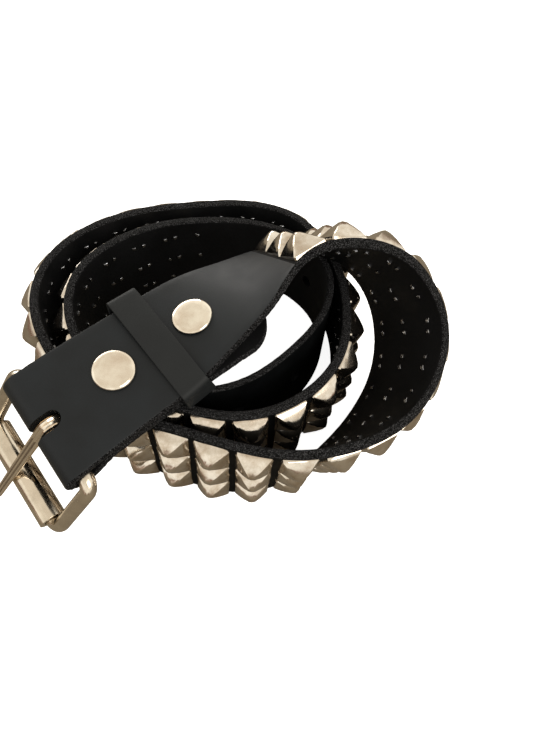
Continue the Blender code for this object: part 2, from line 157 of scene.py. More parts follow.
# Route of the strap's lower edge, from the fold to the tip: x, y and lift as shares of half_long,
# half_deep and rest_height, the direction across to the upper edge, and the turns laid inside
ROUTE = (
    (-0.900, -0.714, 1.175, 0.62, -0.76, -0.20, 0.0),
    (-0.662, -0.380, 1.155, 0.66, -0.73, -0.14, 0.0),
    (-0.458, -0.111, 1.130, 0.68, -0.73, -0.06, 0.0),
    (-0.252, 0.150, 1.076, 0.64, -0.75, 0.18, 0.0),
    (-0.090, 0.288, 1.032, 0.56, -0.71, 0.42, 0.0),
    (0.067, 0.417, 0.998, 0.43, -0.65, 0.62, 0.0),
    (0.235, 0.509, 0.968, 0.35, -0.60, 0.71, 0.0),
    (0.403, 0.540, 0.895, 0.34, -0.56, 0.75, 0.0),
    (0.564, 0.502, 0.755, 0.37, -0.51, 0.78, 0.0),
    (0.686, 0.389, 0.548, 0.41, -0.47, 0.78, 0.0),
    (0.743, 0.200, 0.365, 0.45, -0.44, 0.78, 0.0),
    (0.744, -0.020, 0.190, 0.43, -0.44, 0.78, 0.0),
    (0.645, -0.348, 0.022, 0.34, -0.42, 0.84, 0.0),
    (0.476, -0.640, 0.000, 0.21, -0.30, 0.93, 0.0),
    (0.273, -0.874, 0.000, 0.09, -0.09, 0.99, 0.0),
    (0.021, -0.962, 0.000, 0.06, 0.09, 0.99, 0.0),
    (-0.246, -0.890, 0.000, 0.06, 0.12, 0.99, 0.0),
    (-0.511, -0.757, 0.000, 0.05, 0.07, 1.00, 0.0),
    (-0.735, -0.535, 0.000, 0.04, 0.05, 1.00, 0.0),
    (-0.905, -0.245, 0.000, 0.03, 0.03, 1.00, 0.0),
    (-0.994, 0.110, 0.000, 0.00, 0.02, 1.00, 0.0),
    (-0.952, 0.471, 0.000, -0.01, 0.00, 1.00, 0.0),
    (-0.791, 0.769, 0.000, 0.01, -0.04, 1.00, 0.0),
    (-0.548, 0.958, 0.000, 0.02, -0.07, 1.00, 0.0),
    (-0.272, 1.038, 0.000, 0.02, -0.07, 1.00, 0.0),
    (0.008, 1.020, 0.000, 0.02, 0.00, 1.00, 0.0),
    (0.276, 0.942, 0.000, 0.04, 0.05, 1.00, 0.43),
    (0.436, 0.786, 0.000, 0.04, 0.04, 1.00, 0.71),
    (0.580, 0.572, 0.000, 0.02, 0.01, 1.00, 1.0),
    (0.661, 0.126, 0.000, 0.00, -0.01, 1.00, 1.0),
    (0.598, -0.330, 0.000, 0.02, -0.03, 1.00, 1.0),
    (0.386, -0.690, 0.000, 0.02, -0.03, 1.00, 1.0),
    (0.080, -0.880, 0.000, 0.02, 0.00, 1.00, 1.0),
    (-0.252, -0.868, 0.000, 0.03, 0.05, 1.00, 1.0),
    (-0.556, -0.706, 0.000, 0.03, 0.06, 1.00, 1.0),
    (-0.802, -0.428, 0.000, 0.04, 0.05, 1.00, 1.0),
    (-0.948, -0.044, 0.000, 0.04, 0.03, 1.00, 1.0),
    (-0.943, 0.362, 0.000, 0.03, 0.01, 1.00, 1.0),
    (-0.770, 0.706, 0.000, 0.02, -0.01, 1.00, 1.0),
    (-0.503, 0.937, 0.000, 0.02, -0.03, 1.00, 1.0),
    (-0.190, 1.030, 0.000, 0.01, -0.04, 1.00, 1.0),
    (0.134, 0.999, 0.000, 0.02, 0.00, 1.00, 1.38),
    (0.432, 0.786, 0.000, 0.04, 0.04, 1.00, 1.75),
    (0.572, 0.548, 0.000, 0.04, 0.03, 1.00, 2.0),
    (0.604, 0.068, 0.000, 0.00, 0.03, 1.00, 2.0),
    (0.435, -0.415, 0.000, -0.04, 0.04, 1.00, 2.0),
    (0.103, -0.729, 0.000, -0.02, 0.01, 1.00, 2.0),
    (-0.270, -0.765, 0.000, 0.00, -0.02, 1.00, 2.0),
    (-0.590, -0.600, 0.000, 0.00, -0.02, 1.00, 2.0),
    (-0.838, -0.305, 0.000, 0.02, 0.02, 1.00, 2.0),
    (-0.950, -0.050, 0.000, 0.05, 0.04, 1.00, 2.0),
)


def eased(share):
    return share * share * (3 - 2 * share)


def unit(vec):
    size = np.linalg.norm(vec, axis=-1, keepdims=True)
    return vec / np.maximum(size, 1e-12)


def piece_of(param, fine):
    """Number of the curve's piece that each fine place falls in."""
    return np.clip(np.searchsorted(param, fine, side="right") - 1, 0, len(param) - 2)


def smooth_rows(param, rows, fine):
    """Smooth curve through the rows, its second slope continuous."""
    count = len(param)
    step = np.diff(param)
    system = np.zeros((count, count))
    right = np.zeros((count, rows.shape[1]))
    system[0, 0] = 1.0
    system[-1, -1] = 1.0
    for k in range(1, count - 1):
        system[k, k - 1] = step[k - 1]
        system[k, k] = 2 * (step[k - 1] + step[k])
        system[k, k + 1] = step[k]
        before = (rows[k] - rows[k - 1]) / step[k - 1]
        after = (rows[k + 1] - rows[k]) / step[k]
        right[k] = 6 * (after - before)
    bend = np.linalg.solve(system, right)
    k = piece_of(param, fine)
    width = step[k][:, None]
    a = (param[k + 1] - fine)[:, None] / width
    b = 1.0 - a
    part = (a ** 3 - a) * bend[k] + (b ** 3 - b) * bend[k + 1]
    return a * rows[k] + b * rows[k + 1] + part * width ** 2 / 6


def level_rows(param, rows, fine):
    """Smooth curve through the rows that never passes above or below them."""
    step = np.diff(param)[:, None]
    slope = np.diff(rows, axis=0) / step
    slopes = np.zeros_like(rows)
    left, right = slope[:-1], slope[1:]
    same = left * right > 0
    total = np.where(same, left + right, 1.0)
    slopes[1:-1] = np.where(same, 2 * left * right / total, 0.0)
    k = piece_of(param, fine)
    h = step[k]
    t = (fine - param[k])[:, None] / h
    p0, p1 = rows[k], rows[k + 1]
    m0, m1 = slopes[k] * h, slopes[k + 1] * h
    return ((2 * t ** 3 - 3 * t ** 2 + 1) * p0 + (t ** 3 - 2 * t ** 2 + t) * m0
            + (3 * t ** 2 - 2 * t ** 3) * p1 + (t ** 3 - t ** 2) * m1)


def lay_route():
    """Mid-line length, lower edge and direction across of the laid strap."""
    table = np.array(ROUTE)
    flat = np.stack([table[:, 0] * half_long, table[:, 1] * half_deep], -1)
    turns = table[:, 6]
    inward = np.interp(turns, [0, 1, 2], [0, studded_layer, studded_layer + plain_layer])
    reach = np.linalg.norm(flat, axis=1, keepdims=True)
    flat = flat * (1 - inward[:, None] / reach)
    across = unit(table[:, 3:6])
    low = np.column_stack([flat, table[:, 2] * rest_height])
    mid = low + across * half_width
    chord = np.linalg.norm(np.diff(mid, axis=0), axis=1)
    param = np.concatenate([[0], np.cumsum(chord)])
    fine = np.linspace(0, param[-1], 6000)
    flat_fine = smooth_rows(param, np.column_stack([flat, across]), fine)
    lift_fine = level_rows(param, low[:, 2:3], fine)
    across_fine = unit(flat_fine[:, 2:5])
    low_fine = np.column_stack([flat_fine[:, 0] + centre_x, flat_fine[:, 1], lift_fine])
    mid_fine = low_fine + across_fine * half_width
    run = np.concatenate([[0], np.cumsum(np.linalg.norm(np.diff(mid_fine, axis=0), axis=1))])
    return run, low_fine, across_fine


def columns(values, run):
    """The route's values at these lengths, one row each."""
    return np.stack([np.interp(run, RUN, values[:, k]) for k in range(3)], -1)


RUN, LOW, ACROSS = lay_route()
total_run = float(RUN[-1])
LOW_AHEAD = unit(np.gradient(LOW, RUN, axis=0))
TOP_AHEAD = unit(np.gradient(LOW + ACROSS * strap_width, RUN, axis=0))
LOW_OUT = unit(np.cross(ACROSS, LOW_AHEAD))
TOP_OUT = unit(np.cross(ACROSS, TOP_AHEAD))
LOW_OUT[:, 2] *= eased(np.clip(LOW[:, 2] / foot_high, 0, 1))
LOW_OUT = unit(LOW_OUT)

FOLD_W = unit(columns(ACROSS, bar_run))
FOLD_D = unit(columns(LOW_AHEAD, bar_run) + columns(TOP_AHEAD, bar_run))
FOLD_D = unit(FOLD_D - FOLD_W * float(FOLD_D @ FOLD_W))
FOLD_N = np.cross(FOLD_W, FOLD_D)
OUTWARD = -FOLD_D * math.cos(frame_drop) - FOLD_N * math.sin(frame_drop)
roll_low, roll_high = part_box("roller")
BAR = np.array((roll_low + roll_high) / 2) - OUTWARD * frame_reach
PLACED = BAR - (columns(LOW, bar_run) + FOLD_W * half_width - FOLD_N * fold_mid)
LOW = LOW + PLACED
ROLL = BAR + OUTWARD * frame_reach
flap_start = bar_run - math.pi * fold_mid
flap_end = flap_start - (flap_reach - bar_run)


def facing(out_low, out_top, side):
    """Out of the grain face, between the directions at the lower and the upper edge."""
    part = np.clip(side / half_width / 2 + 0.5, 0, 1)[:, None]
    return unit((1 - part) * out_low + part * out_top)


def main_layer(run, side, height):
    across = unit(columns(ACROSS, run))
    out = facing(unit(columns(LOW_OUT, run)), unit(columns(TOP_OUT, run)), side)
    return columns(LOW, run) + across * (half_width + side)[:, None] + out * height[:, None]


def fold_layer(run, side, height):
    turn = ((bar_run - run) / fold_mid)[:, None]
    out = FOLD_N * np.cos(turn) - FOLD_D * np.sin(turn)
    return BAR + out * (fold_mid + height)[:, None] + FOLD_W * side[:, None]


def flap_layer(run, side, height):
    back = bar_run + flap_start - run
    held = np.minimum(back, flap_free)
    across = unit(columns(ACROSS, held))
    out_low, out_top = unit(columns(LOW_OUT, held)), unit(columns(TOP_OUT, held))
    share = eased(np.clip((back - bar_run) / flap_close, 0, 1))
    edge = eased(np.clip(side / half_width, 0, 1))
    sag = eased(np.clip((back - sag_from) / sag_over, 0, 1))
    whole = eased(np.clip((back - sag_across_from) / sag_across_over, 0, 1))
    sag = sag * (edge + (1 - edge) * whole)
    away = (2 * fold_mid + (apart - 2 * fold_mid) * share + flap_sag * sag)[:, None]
    centre = columns(LOW, held) + across * half_width - unit(out_low + out_top) * away
    free = (back - held)[:, None]
    ahead = columns(LOW_AHEAD, held) + columns(TOP_AHEAD, held)
    ahead = unit(unit(ahead) * np.array([1.0, 1.0, 0.2]))
    ease = np.minimum(free / level_over, 1.0)
    level = unit(across * (1 - ease * np.array([0, 0, 0.85])))
    out = np.where(free > 0, unit(np.cross(level, ahead)), facing(out_low, out_top, side))
    return centre + ahead * free + level * side[:, None] - out * height[:, None]


def thinned(run):
    """How much thinner the leather is here than at the buckle."""
    back = np.where(run < flap_start, bar_run + flap_start - run, run)
    studs_end = plain_run + stud_count * stud_pitch
    return strap_thick * np.interp(
        back, (thin_from, thin_from + thin_over, plain_run, plain_run + thin_over,
               studs_end, studs_end + thin_over),
        (0, thin_share, thin_share, thin_studded, thin_studded, thin_share))


def laid(flat):
    """Flat belt points (across, along, height) at their places on the laid belt."""
    side, run, height = flat[:, 0], flat[:, 1], flat[:, 2]
    run_main = np.maximum(run, bar_run)
    place = main_layer(run_main, side, height)
    folded = fold_layer(run, side, height)
    under = flap_layer(np.minimum(run, flap_start), side, height)
    place = np.where((run < bar_run)[:, None], folded, place)
    return np.where((run < flap_start)[:, None], under, place)


def seat(run, side=0.0):
    """Matrix of a hard piece's seat: X across, Y along, Z out of the grain face."""
    near = seat_reach
    spots = laid(np.array([[side, run - near, 0], [side, run + near, 0], [side - near, run, 0],
                           [side + near, run, 0], [side, run, 0]]))
    across = Vector(spots[3] - spots[2]).normalized()
    out = across.cross(Vector(spots[1] - spots[0])).normalized()
    ahead = out.cross(across)
    matrix = Matrix((across, ahead, out)).transposed().to_4x4()
    matrix.translation = Vector(spots[4])
    return matrix


def points_of(obj):
    spots = np.zeros(len(obj.data.vertices) * 3)
    obj.data.vertices.foreach_get("co", spots)
    return spots.reshape(-1, 3)


def put_points(obj, spots):
    obj.data.vertices.foreach_set("co", np.asarray(spots, float).ravel())
    obj.data.update()


def lay_piece(obj):
    """Bends a piece that was modelled flat along the laid belt."""
    spots = laid(points_of(obj))
    spots[:, 2] = np.maximum(spots[:, 2], 0)
    put_points(obj, spots)
    return obj


def begin():
    """Nothing selected, so that each operator acts on its own piece alone."""
    if bpy.context.object and bpy.context.object.mode != "OBJECT":
        bpy.ops.object.mode_set(mode="OBJECT")
    bpy.ops.object.select_all(action="DESELECT")


def named(name):
    """The piece that a primitive operator has just added."""
    obj = bpy.context.active_object
    obj.name = name
    obj.data.name = name
    return obj


def only(obj):
    begin()
    bpy.context.tool_settings.mesh_select_mode = (True, False, False)
    obj.select_set(True)
    bpy.context.view_layer.objects.active = obj
    return obj


def settle(obj):
    """Takes the object's place into its mesh."""
    only(obj)
    bpy.ops.object.transform_apply(location=True, rotation=True, scale=True)
    return obj


def apply_modifier(obj, kind, **values):
    only(obj)
    modifier = obj.modifiers.new(kind.lower(), kind)
    for key, value in values.items():
        setattr(modifier, key, value)
    bpy.ops.object.modifier_apply(modifier=modifier.name)
    return obj


def edit(obj):
    """Opens this piece alone in edit mode, with all of it selected."""
    only(obj)
    bpy.ops.object.mode_set(mode="EDIT")
    bpy.ops.mesh.select_all(action="SELECT")


def leave():
    """Back to object mode, with nothing selected in the mesh."""
    bpy.ops.mesh.select_all(action="DESELECT")
    bpy.ops.object.mode_set(mode="OBJECT")


def tidy_mesh(obj, distance=1e-6):
    """Merges doubles and turns all faces outwards."""
    edit(obj)
    bpy.ops.mesh.remove_doubles(threshold=distance)
    bpy.ops.mesh.normals_make_consistent(inside=False)
    leave()
    return obj


def pick(obj, kind, wanted):
    """In edit mode, selects the faces, edges or vertices that the test wants."""
    kinds = ("verts", "edges", "faces")
    bpy.context.tool_settings.mesh_select_mode = [kind == each for each in kinds]
    work = bmesh.from_edit_mesh(obj.data)
    for each in kinds:
        for part in getattr(work, each):
            part.select = False
    found = [part for part in getattr(work, kind) if wanted(part)]
    for part in found:
        part.select_set(True)
    work.select_flush_mode()
    bmesh.update_edit_mesh(obj.data)
    if not found:
        raise RuntimeError(f"{obj.name}: nothing to select")


def push(x, y, z):
    bpy.ops.mesh.extrude_region_move(TRANSFORM_OT_translate={"value": (x, y, z)})


def raised(name, rows, sides, top=None):
    """Turned body: a filled circle, extruded row by row (height, radius)."""
    begin()
    height, radius = rows[0]
    bpy.ops.mesh.primitive_circle_add(vertices=sides, radius=radius, fill_type="NGON",
                                      location=(0, 0, height))
    obj = settle(named(name))
    edit(obj)
    for next_height, next_radius in rows[1:]:
        push(0, 0, next_height - height)
        share = next_radius / radius
        bpy.ops.transform.resize(value=(share, share, 1), center_override=(0, 0, next_height))
        height, radius = next_height, next_radius
    bpy.ops.mesh.poke(offset=(top or height) - height)
    leave()
    return tidy_mesh(obj)


def rounded_section(wide, thick, soft, turns, counts):
    """Points around a flat section with soft edges, from its upper face round to its lower."""
    points = []
    for side, count in zip((1, -1), counts):
        for x in np.linspace(-wide + soft, wide - soft, count):
            points.append((x * side, side * thick))
        for top, steps in ((side, turns), (-side, turns[::-1])):
            for turn in steps:
                angle = math.radians(turn)
                points.append((side * (wide - soft + soft * math.cos(angle)),
                               top * (thick - soft + soft * math.sin(angle))))
    return np.array(points)


def wrapped_grid(name, around, along):
    """A grid to be wrapped round a section, and each vertex's place around and row."""
    begin()
    bpy.ops.mesh.primitive_grid_add(x_subdivisions=around, y_subdivisions=along, size=1)
    obj = named(name)
    index = np.arange(len(obj.data.vertices))
    return obj, index % (around + 1) % around, index // (around + 1)


def close_ends(obj):
    """Merges a wrapped grid's seam and fills its two ends."""
    edit(tidy_mesh(obj))
    pick(obj, "edges", lambda edge: edge.is_boundary)
    bpy.ops.mesh.fill_holes(sides=0)
    bpy.ops.mesh.select_all(action="SELECT")
    bpy.ops.mesh.normals_make_consistent(inside=False)
    leave()


def moved(spots, matrix):
    matrix = np.array(matrix)
    return spots @ matrix[:3, :3].T + matrix[:3, 3]


def place_piece(obj, matrix):
    put_points(obj, moved(points_of(obj), matrix))


def copies(model, name, seats, dents=0.0):
    """One object of many copies of the model, each at its own seat and a little dented."""
    spots = points_of(model)
    chance = np.random.default_rng(23)
    made = []
    for matrix in seats:
        begin()
        twin = model.copy()
        twin.data = model.data.copy()
        bpy.context.collection.objects.link(twin)
        placed = moved(spots + chance.normal(0, 1, spots.shape) * dents, matrix)
        placed[:, 2] = np.maximum(placed[:, 2], floor_clear)
        put_points(twin, placed)
        made.append(twin)
    begin()
    for twin in made:
        twin.select_set(True)
    bpy.context.view_layer.objects.active = made[0]
    bpy.ops.object.join()
    bpy.data.objects.remove(model, do_unlink=True)
    return named(name)


# Materials


def feed(tree, node, inputs):
    """Links or sets the node's inputs, given by name or number."""
    for target, value in inputs.items():
        if isinstance(value, bpy.types.NodeSocket):
            tree.links.new(value, node.inputs[target])
        else:
            node.inputs[target].default_value = value
    return node


def put(tree, kind, inputs=None, **settings):
    """Adds a node with its settings and inputs."""
    node = tree.nodes.new(kind)
    for key, value in settings.items():
        setattr(node, key, value)
    return feed(tree, node, inputs or {})


def noise(tree, spot, scale, detail=2.0, roughness=0.5):
    return put(tree, "ShaderNodeTexNoise", {"Vector": spot, "Scale": scale, "Detail": detail,
                                            "Roughness": roughness}).outputs["Fac"]


def bump(tree, height, depth, below=None):
    """A bump's normal, over another one where there is one below."""
    inputs = {"Height": height, "Distance": depth}
    if below:
        inputs["Normal"] = below
    return put(tree, "ShaderNodeBump", inputs).outputs["Normal"]


def ramp(tree, source, stops):
    node = put(tree, "ShaderNodeValToRGB", {"Fac": source})
    points = node.color_ramp.elements
    points[0].position, points[0].color = stops[0][0], grey(stops[0][1])
    points[1].position, points[1].color = stops[-1][0], grey(stops[-1][1])
    for place, value in stops[1:-1]:
        points.new(place).color = grey(value)
    return node.outputs["Color"]


def grey(value):
    return (value, value, value, 1) if isinstance(value, (int, float)) else (*value[:3], 1)


def toned(colour, share):
    return [part * share for part in colour]


def open_group(name, scales):
    """An empty node group that takes a vector and these scales."""
    group = bpy.data.node_groups.new(name, "ShaderNodeTree")
    sockets = group.interface
    sockets.new_socket(name="Vector", in_out="INPUT", socket_type="NodeSocketVector")
    for label, default in scales.items():
        socket = sockets.new_socket(name=label, in_out="INPUT", socket_type="NodeSocketFloat")
        socket.default_value = default
    return group, group.nodes.new("NodeGroupInput").outputs


def close_group(group, values):
    """Puts these values out of the group."""
    for label in values:
        group.interface.new_socket(name=label, in_out="OUTPUT", socket_type="NodeSocketFloat")
    feed(group, group.nodes.new("NodeGroupOutput"), values)
    return group


def grain_group():
    """Leather grain: pebbled pores, slow colour drift and fine specks."""
    group, given = open_group("leather_grain", {"Pore Scale": 2600.0, "Drift Scale": 90.0})
    spot, scale = given["Vector"], given["Pore Scale"]
    pores = put(group, "ShaderNodeTexVoronoi", {"Vector": spot, "Scale": scale},
                feature="SMOOTH_F1")
    height = put(group, "ShaderNodeMath",
                 {0: pores.outputs["Distance"], 1: noise(group, spot, scale, 3.0)},
                 operation="MULTIPLY")
    return close_group(group, {"Height": height.outputs[0],
                               "Drift": noise(group, spot, given["Drift Scale"], 4.0),
                               "Speck": noise(group, spot, scale, 1.0)})


def wear_group():
    """Handled metal: cloudy film, fine scratches and shallow ripples."""
    group, given = open_group("metal_wear", {"Film Scale": 160.0, "Scratch Scale": 900.0})
    spot, scale = given["Vector"], given["Film Scale"]
    stretch = put(group, "ShaderNodeMapping", {"Vector": spot, "Scale": (1.0, 0.08, 0.6),
                                               "Rotation": (0.3, 0.2, 0.7)}).outputs["Vector"]
    return close_group(group, {"Film": noise(group, spot, scale, 5.0, 0.62),
                               "Scratch": noise(group, stretch, given["Scratch Scale"], 2.0),
                               "Ripple": noise(group, spot, scale, 0.0)})


def shared(name, maker):
    return bpy.data.node_groups.get(name) or maker()


def new_material(name):
    material = bpy.data.materials.new(name)
    material.use_nodes = True
    tree = material.node_tree
    shader = tree.nodes["Principled BSDF"]
    place = tree.nodes.new("ShaderNodeTexCoord").outputs["Object"]
    return material, tree, shader, place


def leather_material(name, dark, light, pore_scale, depth, rough, shine, specks=0.0):
    """Leather face: dark finish with pores, drifting tone and a soft shine."""
    material, tree, shader, place = new_material(name)
    grain = put(tree, "ShaderNodeGroup", {"Vector": place, "Pore Scale": pore_scale},
                node_tree=shared("leather_grain", grain_group)).outputs
    tone = ramp(tree, grain["Drift"], [(0.3, dark), (0.72, light)])
    if specks:
        bright = ramp(tree, grain["Speck"], [(0.50, 0.0), (0.70, specks)])
        tone = put(tree, "ShaderNodeMix", {0: bright, 6: tone, 7: (0.078, 0.079, 0.085, 1)},
                   data_type="RGBA").outputs[2]
    feed(tree, shader, {
        "Base Color": tone, "Specular IOR Level": shine,
        "Roughness": ramp(tree, grain["Drift"], [(0.3, rough[0]), (0.7, rough[1])]),
        "Normal": bump(tree, grain["Height"], depth)})
    return material


def metal_material(name, bright, dull, rough, ripple, film_scale=160.0):
    """Nickel plate: warm tone, cloudy film, fine scratches, ripples."""
    material, tree, shader, place = new_material(name)
    wear = put(tree, "ShaderNodeGroup", {"Vector": place, "Film Scale": film_scale},
               node_tree=shared("metal_wear", wear_group)).outputs
    feed(tree, shader, {
        "Base Color": ramp(tree, wear["Film"], [(0.32, dull), (0.60, bright)]), "Metallic": 1.0,
        "Roughness": ramp(tree, wear["Film"], [(0.35, rough[1]), (0.65, rough[0])]),
        "Normal": bump(tree, wear["Ripple"], ripple, bump(tree, wear["Scratch"], 0.00002))})
    return material


def dress(obj, *materials):
    for material in materials:
        obj.data.materials.append(material)


def finish_piece(obj, degrees, body, slot, *nodes):
    """Shades the piece, rides it on its body and stands it for its solids."""
    only(obj)
    bpy.ops.object.shade_smooth_by_angle(angle=math.radians(degrees), keep_sharp_edges=True)
    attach(obj, body)
    if nodes:
        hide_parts(*nodes)
    begin()


# What a user may change


def colour(name, text, default):
    return FloatVectorProperty(name=name, description=text, size=3, subtype="COLOR",
                               default=default, min=0, max=1)


def number(name, text, default, low, high, unit="LENGTH"):
    return FloatProperty(name=name, description=text, unit=unit, default=default,
                         min=low, max=high)


class BeltLeather(bpy.types.PropertyGroup):
    face: colour("Face", "Colour of the grain face", (0.0078, 0.0102, 0.0130))
    back: colour("Back", "Colour of the strap's inner face", (0.0042, 0.0044, 0.0050))
    edge: colour("Cut edge", "Colour of the raw cut edge", (0.0075, 0.0078, 0.0082))
    fuzz: number("Fuzz", "How far the raw edge stands out unevenly", 0.00005, 0, 0.0005)
    step: number("Step", "Length of one row of faces along the strap", 0.0008, 0.0004, 0.005)


class BeltStuds(bpy.types.PropertyGroup):
    tall: number("Height", "Height of a stud above the leather", 0.0058, 0.001, 0.01)
    crown: number("Crown", "How far the facets bulge", 0.00038, 0, 0.001)
    dents: number("Dents", "How far the facets are knocked out of true", 0.00004, 0, 0.0005)
    metal: colour("Metal", "Colour of the nickel", (0.72, 0.67, 0.60))


class BeltStage(bpy.types.PropertyGroup):
    floor: number("Floor", "Size of the pale floor", 6.0, 0.5, 20)
    key: number("Key", "Power of the large soft light", 2.2, 0, 500, "POWER")
    glow: number("Floor glow", "Light that the floor gives by itself", 0.9, 0, 5, "NONE")
    bounce: colour("Bounce", "Colour of the floor in reflections", (0.235, 0.21, 0.172))
    room: number("Room", "Strength of the light from the room", 1.0, 0, 5, "NONE")
    lens: number("Lens", "Focal length of the camera in millimetres", 24.32, 5, 200, "NONE")


# Leather strap


def strap_share(run):
    """Share of the full width: rounded at the flap's end, pointed at the tip."""
    flap = np.clip((flap_end + flap_round - run) / flap_round, 0, 1)
    share = np.sqrt(np.maximum(1 - flap * flap, 0.0001))
    tip = np.clip((run - (total_run - point_long)) / point_long, 0, 1)
    return np.minimum(share, 1 - (1 - point_flat) * tip)


def cut_hole(strap, side, run, radius, longer=0.0):
    """Cuts a round hole through the strap, or a slot with round ends."""
    begin()
    bpy.ops.mesh.primitive_cylinder_add(vertices=32, radius=radius, depth=0.02,
                                        location=(side, run, 0))
    cutter = settle(named("cutter"))
    spots = points_of(cutter)
    spots[spots[:, 1] > run, 1] += longer
    put_points(cutter, spots)
    apply_modifier(strap, "BOOLEAN", operation="DIFFERENCE", solver="EXACT", object=cutter)
    bpy.data.objects.remove(cutter, do_unlink=True)


class BELT_OT_strap(bpy.types.Operator):
    """Cuts the strap flat, with its holes, and lays it along the route"""
    bl_idname = "belt.strap"
    bl_label = "Lay the strap"

    def execute(self, context):
        values = context.scene.belt_leather
        profile = rounded_section(half_width, half_thick, edge_soft, (67.5, 45, 22.5, 0), (19, 13))
        plain = np.arange(flap_end + flap_round, total_run - point_long, values.step)
        first = flap_end + flap_round * (1 - np.sin(np.radians(np.linspace(88, 3, 24))))
        last = np.linspace(total_run - point_long, total_run, 20)
        runs = np.concatenate([first, plain, last])
        strap, place, row = wrapped_grid("strap_leather", len(profile), len(runs) - 1)
        share = strap_share(runs)[row]
        put_points(strap, np.stack([profile[place, 0] * share, runs[row], profile[place, 1]], -1))
        close_ends(strap)
        under = flap_start - (slot_reach - bar_run) - slot_under
        cut_hole(strap, 0, under + slot_wide / 2, slot_wide / 2,
                 slot_reach - slot_shorter - under - slot_wide)
        for number in range(tip_holes):
            cut_hole(strap, 0, total_run - tip_hole_first - tip_hole_step * number, tip_hole / 2)
        spots = points_of(strap)
        rough = np.random.default_rng(7).normal(0, 1, (len(spots), 2))
        narrow = strap_share(spots[:, 1]) * half_width
        rim = np.clip((np.abs(spots[:, 0]) - narrow + rough_deep) / rough_over, 0, 1)
        spots[:, 0] += np.sign(spots[:, 0]) * rim * values.fuzz * (rough[:, 0] - 1.0)
        spots[:, 2] += rim * values.fuzz * 0.5 * rough[:, 1]
        spots[:, 2] -= (spots[:, 2] - half_thick) * thinned(spots[:, 1]) / strap_thick
        put_points(strap, spots)
        # Colour, its dark and light shares, pore scale and depth, roughness, shine and specks
        for name, base, dark, light, *finish in (
                ("leather_face", values.face, 0.85, 1.2, 2600, 0.00003, (0.40, 0.52), 0.27),
                ("leather_cut_edge", values.edge, 0.2, 0.4, 3400, 0.00020, (0.75, 0.95), 0.06, 1.0),
                ("leather_back", values.back, 0.8, 1.4, 1900, 0.00005, (0.50, 0.70), 0.12),
                # Last row: the face colour darkened to a tenth to a quarter, with little shine, as
                # painted shade for the face inside the coil and between the studs
                ("leather_shade", values.face, 0.10, 0.25, 2600, 0.00006, (0.6, 0.8), 0.10)):
            dress(strap, leather_material(name, toned(base, dark), toned(base, light), *finish))
        # The grain face beyond the plain run, over the studded part and the tip, takes the fourth
        # material: painted shade
        for face in strap.data.polygons:
            x, y, z = face.center
            edge = abs(x) > float(strap_share(np.array([y]))[0]) * half_width - edge_band
            face.material_index = 1 if edge else (3 if y > plain_run else 0) if z > 0 else 2
        lay_piece(strap)
        finish_piece(strap, 50, "strap", "black_leather", "studded_strap")
        return {"FINISHED"}


# Studs and prongs


class BELT_OT_studs(bpy.types.Operator):
    """Models one pyramid stud and sets three rows of copies on the strap"""
    bl_idname = "belt.studs"
    bl_label = "Set the studs"

    def execute(self, context):
        values = context.scene.belt_studs
        rise = values.tall - stud_rim
        # Height, share of the full width and how far the corners are cut back
        levels = [(-stud_foot, 1.0, 0.07), (stud_rim, 1.0, 0.07)]
        for level, size, cut in ((0.05, 0.975, 0.07), (0.32, 0.76, 0.08), (0.62, 0.50, 0.10),
                                 (0.90, 0.20, 0.20)):
            levels.append((stud_rim + rise * level, size, cut))
        heights, sizes, cuts = zip(*levels)
        stud = raised("stud", list(zip(heights, sizes)), stud_sides, stud_rim + rise * 0.995)
        spots = points_of(stud)
        for number, (x, y, z) in enumerate(spots):
            reach = math.hypot(x, y)
            if reach < 1e-6:
                continue
            step = round(math.atan2(y, x) / math.tau * stud_sides) % stud_sides
            side, part = divmod(step, stud_sides // 4)
            cut = float(np.interp(z, heights, cuts))
            bulge = values.crown / stud_long * 2 * math.sin(math.pi * min(max(reach, 0), 1))
            run = (cut - 1, -0.5, 0, 0.5, 1 - cut)[part]
            out = reach * (1 + bulge * (1 - (part / 2 - 1) ** 2))
            turn = side * math.pi / 2
            a, b = out * math.cos(turn), out * math.sin(turn)
            spots[number, 0] = (a - reach * run * math.sin(turn)) * (row_apart - row_between) / 2
            spots[number, 1] = (b + reach * run * math.cos(turn)) * stud_long / 2
        put_points(stud, spots)
        edit(stud)
        pick(stud, "faces", lambda face: face.normal.z < -0.9)
        bpy.ops.mesh.delete(type="FACE")
        leave()
        chance = np.random.default_rng(11)
        seats = []
        for column in range(stud_count):
            run = plain_run + (column + 0.5) * stud_pitch
            for row in (-1, 0, 1):
                tilt = chance.normal(0, 0.016, 3)
                slip = chance.normal(0, 0.00008, 2)
                twist = Matrix.Rotation(tilt[0], 4, "X") @ Matrix.Rotation(tilt[1], 4, "Y")
                twist = twist @ Matrix.Rotation(tilt[2], 4, "Z")
                lift = Matrix.Translation((float(slip[0]), float(slip[1]), half_thick))
                seats.append(seat(run, row * row_apart + row_shift) @ lift @ twist)
        studs = copies(stud, "pyramid_studs", seats, values.dents)
        dull = [part * share for part, share in zip(values.metal, (0.74, 0.66, 0.58))]
        dress(studs, metal_material("stud_nickel", toned(values.metal, 1.09), dull,
                                    (0.08, 0.22), 0.00012))
        finish_piece(studs, 24, "strap", "snap_nickel")
        return {"FINISHED"}


